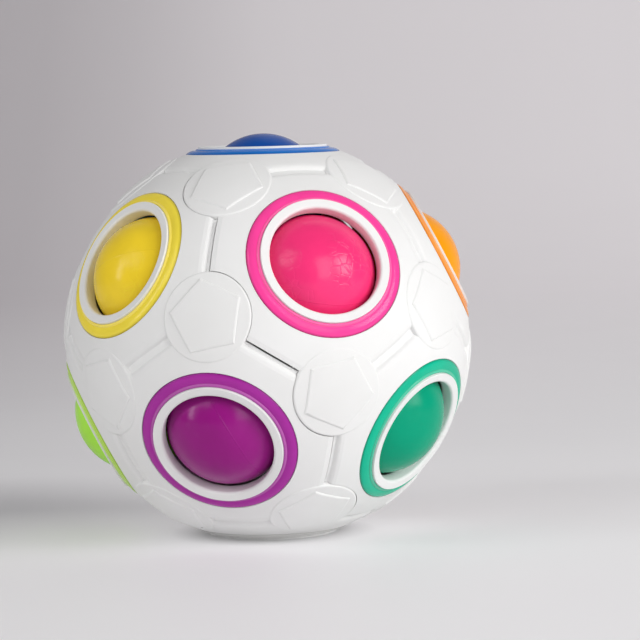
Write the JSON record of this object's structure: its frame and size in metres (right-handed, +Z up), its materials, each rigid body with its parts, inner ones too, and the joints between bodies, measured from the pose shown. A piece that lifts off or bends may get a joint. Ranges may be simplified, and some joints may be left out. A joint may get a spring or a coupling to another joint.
{
  "type": "sliding ball puzzle",
  "caption": "Hollow white puzzle ball with coloured rings round its holes; coloured balls seated in the holes are pushed in and over to the empty hole.",
  "frame": {"origin": "under the centre of the puzzle, on the plane of the bottom hole's rim, which it stands on", "axes": "+Z up along the axis of the top and bottom holes, -Y towards the front, where the pink hole is; the holes lie on the face axes of a regular dodecahedron"},
  "size_m": [0.0698, 0.0706, 0.0693],
  "materials": {
    "shell_white": "satin",
    "blue_ring": "gloss",
    "blue_ball": "satin",
    "white_ring": "gloss",
    "pink_ring": "gloss",
    "pink_ball": "satin",
    "orange_ring": "gloss",
    "orange_ball": "satin",
    "red_ring": "gloss",
    "red_ball": "satin",
    "sky_ring": "gloss",
    "sky_ball": "satin",
    "yellow_ring": "gloss",
    "yellow_ball": "satin",
    "green_ring": "gloss",
    "green_ball": "satin",
    "brown_ring": "gloss",
    "brown_ball": "satin",
    "grey_ring": "gloss",
    "grey_ball": "satin",
    "lime_ring": "gloss",
    "lime_ball": "satin",
    "purple_ring": "gloss",
    "purple_ball": "satin",
    "core_rubber": "matte"
  },
  "bodies": {
    "shell": {"right_shell_half": "shell_white", "left_shell_half": "shell_white", "blue_ring": "blue_ring", "white_ring": "white_ring", "pink_ring": "pink_ring", "orange_ring": "orange_ring", "red_ring": "red_ring", "sky_ring": "sky_ring", "yellow_ring": "yellow_ring", "green_ring": "green_ring", "brown_ring": "brown_ring", "grey_ring": "grey_ring", "lime_ring": "lime_ring", "purple_ring": "purple_ring", "elastic_core": "core_rubber"},
    "blue_ball": {"blue_ball": "blue_ball"},
    "pink_ball": {"pink_ball": "pink_ball"},
    "orange_ball": {"orange_ball": "orange_ball"},
    "red_ball": {"red_ball": "red_ball"},
    "sky_ball": {"sky_ball": "sky_ball"},
    "yellow_ball": {"yellow_ball": "yellow_ball"},
    "green_ball": {"green_ball": "green_ball"},
    "brown_ball": {"brown_ball": "brown_ball"},
    "grey_ball": {"grey_ball": "grey_ball"},
    "lime_ball": {"lime_ball": "lime_ball"},
    "purple_ball": {"purple_ball": "purple_ball"}
  },
  "joints": [
    {"name": "blue_press", "type": "slide", "parent": "shell", "child": "blue_ball", "axis": [0, 0, -1], "range_m": [-0.00085, 0.00315], "stiffness_N_per_m": 900, "deforming": ["elastic_core"]},
    {"name": "pink_press", "type": "slide", "parent": "shell", "child": "pink_ball", "axis": [0, 0.8944, -0.4472], "range_m": [0, 0.004], "stiffness_N_per_m": 900, "springref_m": -0.0004, "deforming": ["elastic_core"]},
    {"name": "orange_press", "type": "slide", "parent": "shell", "child": "orange_ball", "axis": [-0.8507, 0.2764, -0.4472], "range_m": [0, 0.004], "stiffness_N_per_m": 900, "springref_m": -0.0004, "deforming": ["elastic_core"]},
    {"name": "red_press", "type": "slide", "parent": "shell", "child": "red_ball", "axis": [-0.5257, -0.7236, -0.4472], "range_m": [0, 0.004], "stiffness_N_per_m": 900, "springref_m": -0.0004, "deforming": ["elastic_core"]},
    {"name": "sky_press", "type": "slide", "parent": "shell", "child": "sky_ball", "axis": [0.5257, -0.7236, -0.4472], "range_m": [0, 0.004], "stiffness_N_per_m": 900, "springref_m": -0.0004, "deforming": ["elastic_core"]},
    {"name": "yellow_press", "type": "slide", "parent": "shell", "child": "yellow_ball", "axis": [0.8507, 0.2764, -0.4472], "range_m": [0, 0.004], "stiffness_N_per_m": 900, "springref_m": -0.0004, "deforming": ["elastic_core"]},
    {"name": "green_press", "type": "slide", "parent": "shell", "child": "green_ball", "axis": [-0.5257, 0.7236, 0.4472], "range_m": [0, 0.004], "stiffness_N_per_m": 900, "springref_m": -0.0004, "deforming": ["elastic_core"]},
    {"name": "brown_press", "type": "slide", "parent": "shell", "child": "brown_ball", "axis": [-0.8507, -0.2764, 0.4472], "range_m": [0, 0.004], "stiffness_N_per_m": 900, "springref_m": -0.0004, "deforming": ["elastic_core"]},
    {"name": "grey_press", "type": "slide", "parent": "shell", "child": "grey_ball", "axis": [0, -0.8944, 0.4472], "range_m": [0, 0.004], "stiffness_N_per_m": 900, "springref_m": -0.0004, "deforming": ["elastic_core"]},
    {"name": "lime_press", "type": "slide", "parent": "shell", "child": "lime_ball", "axis": [0.8507, -0.2764, 0.4472], "range_m": [0, 0.004], "stiffness_N_per_m": 900, "springref_m": -0.0004, "deforming": ["elastic_core"]},
    {"name": "purple_hop", "type": "hinge", "parent": "shell", "child": "purple_ball", "pos_m": [-0.01566, -0.02155, -0.0095], "axis": [-0.809, 0.5878, 0], "range_deg": [0, 50.56], "deforming": ["elastic_core"]}
  ]
}
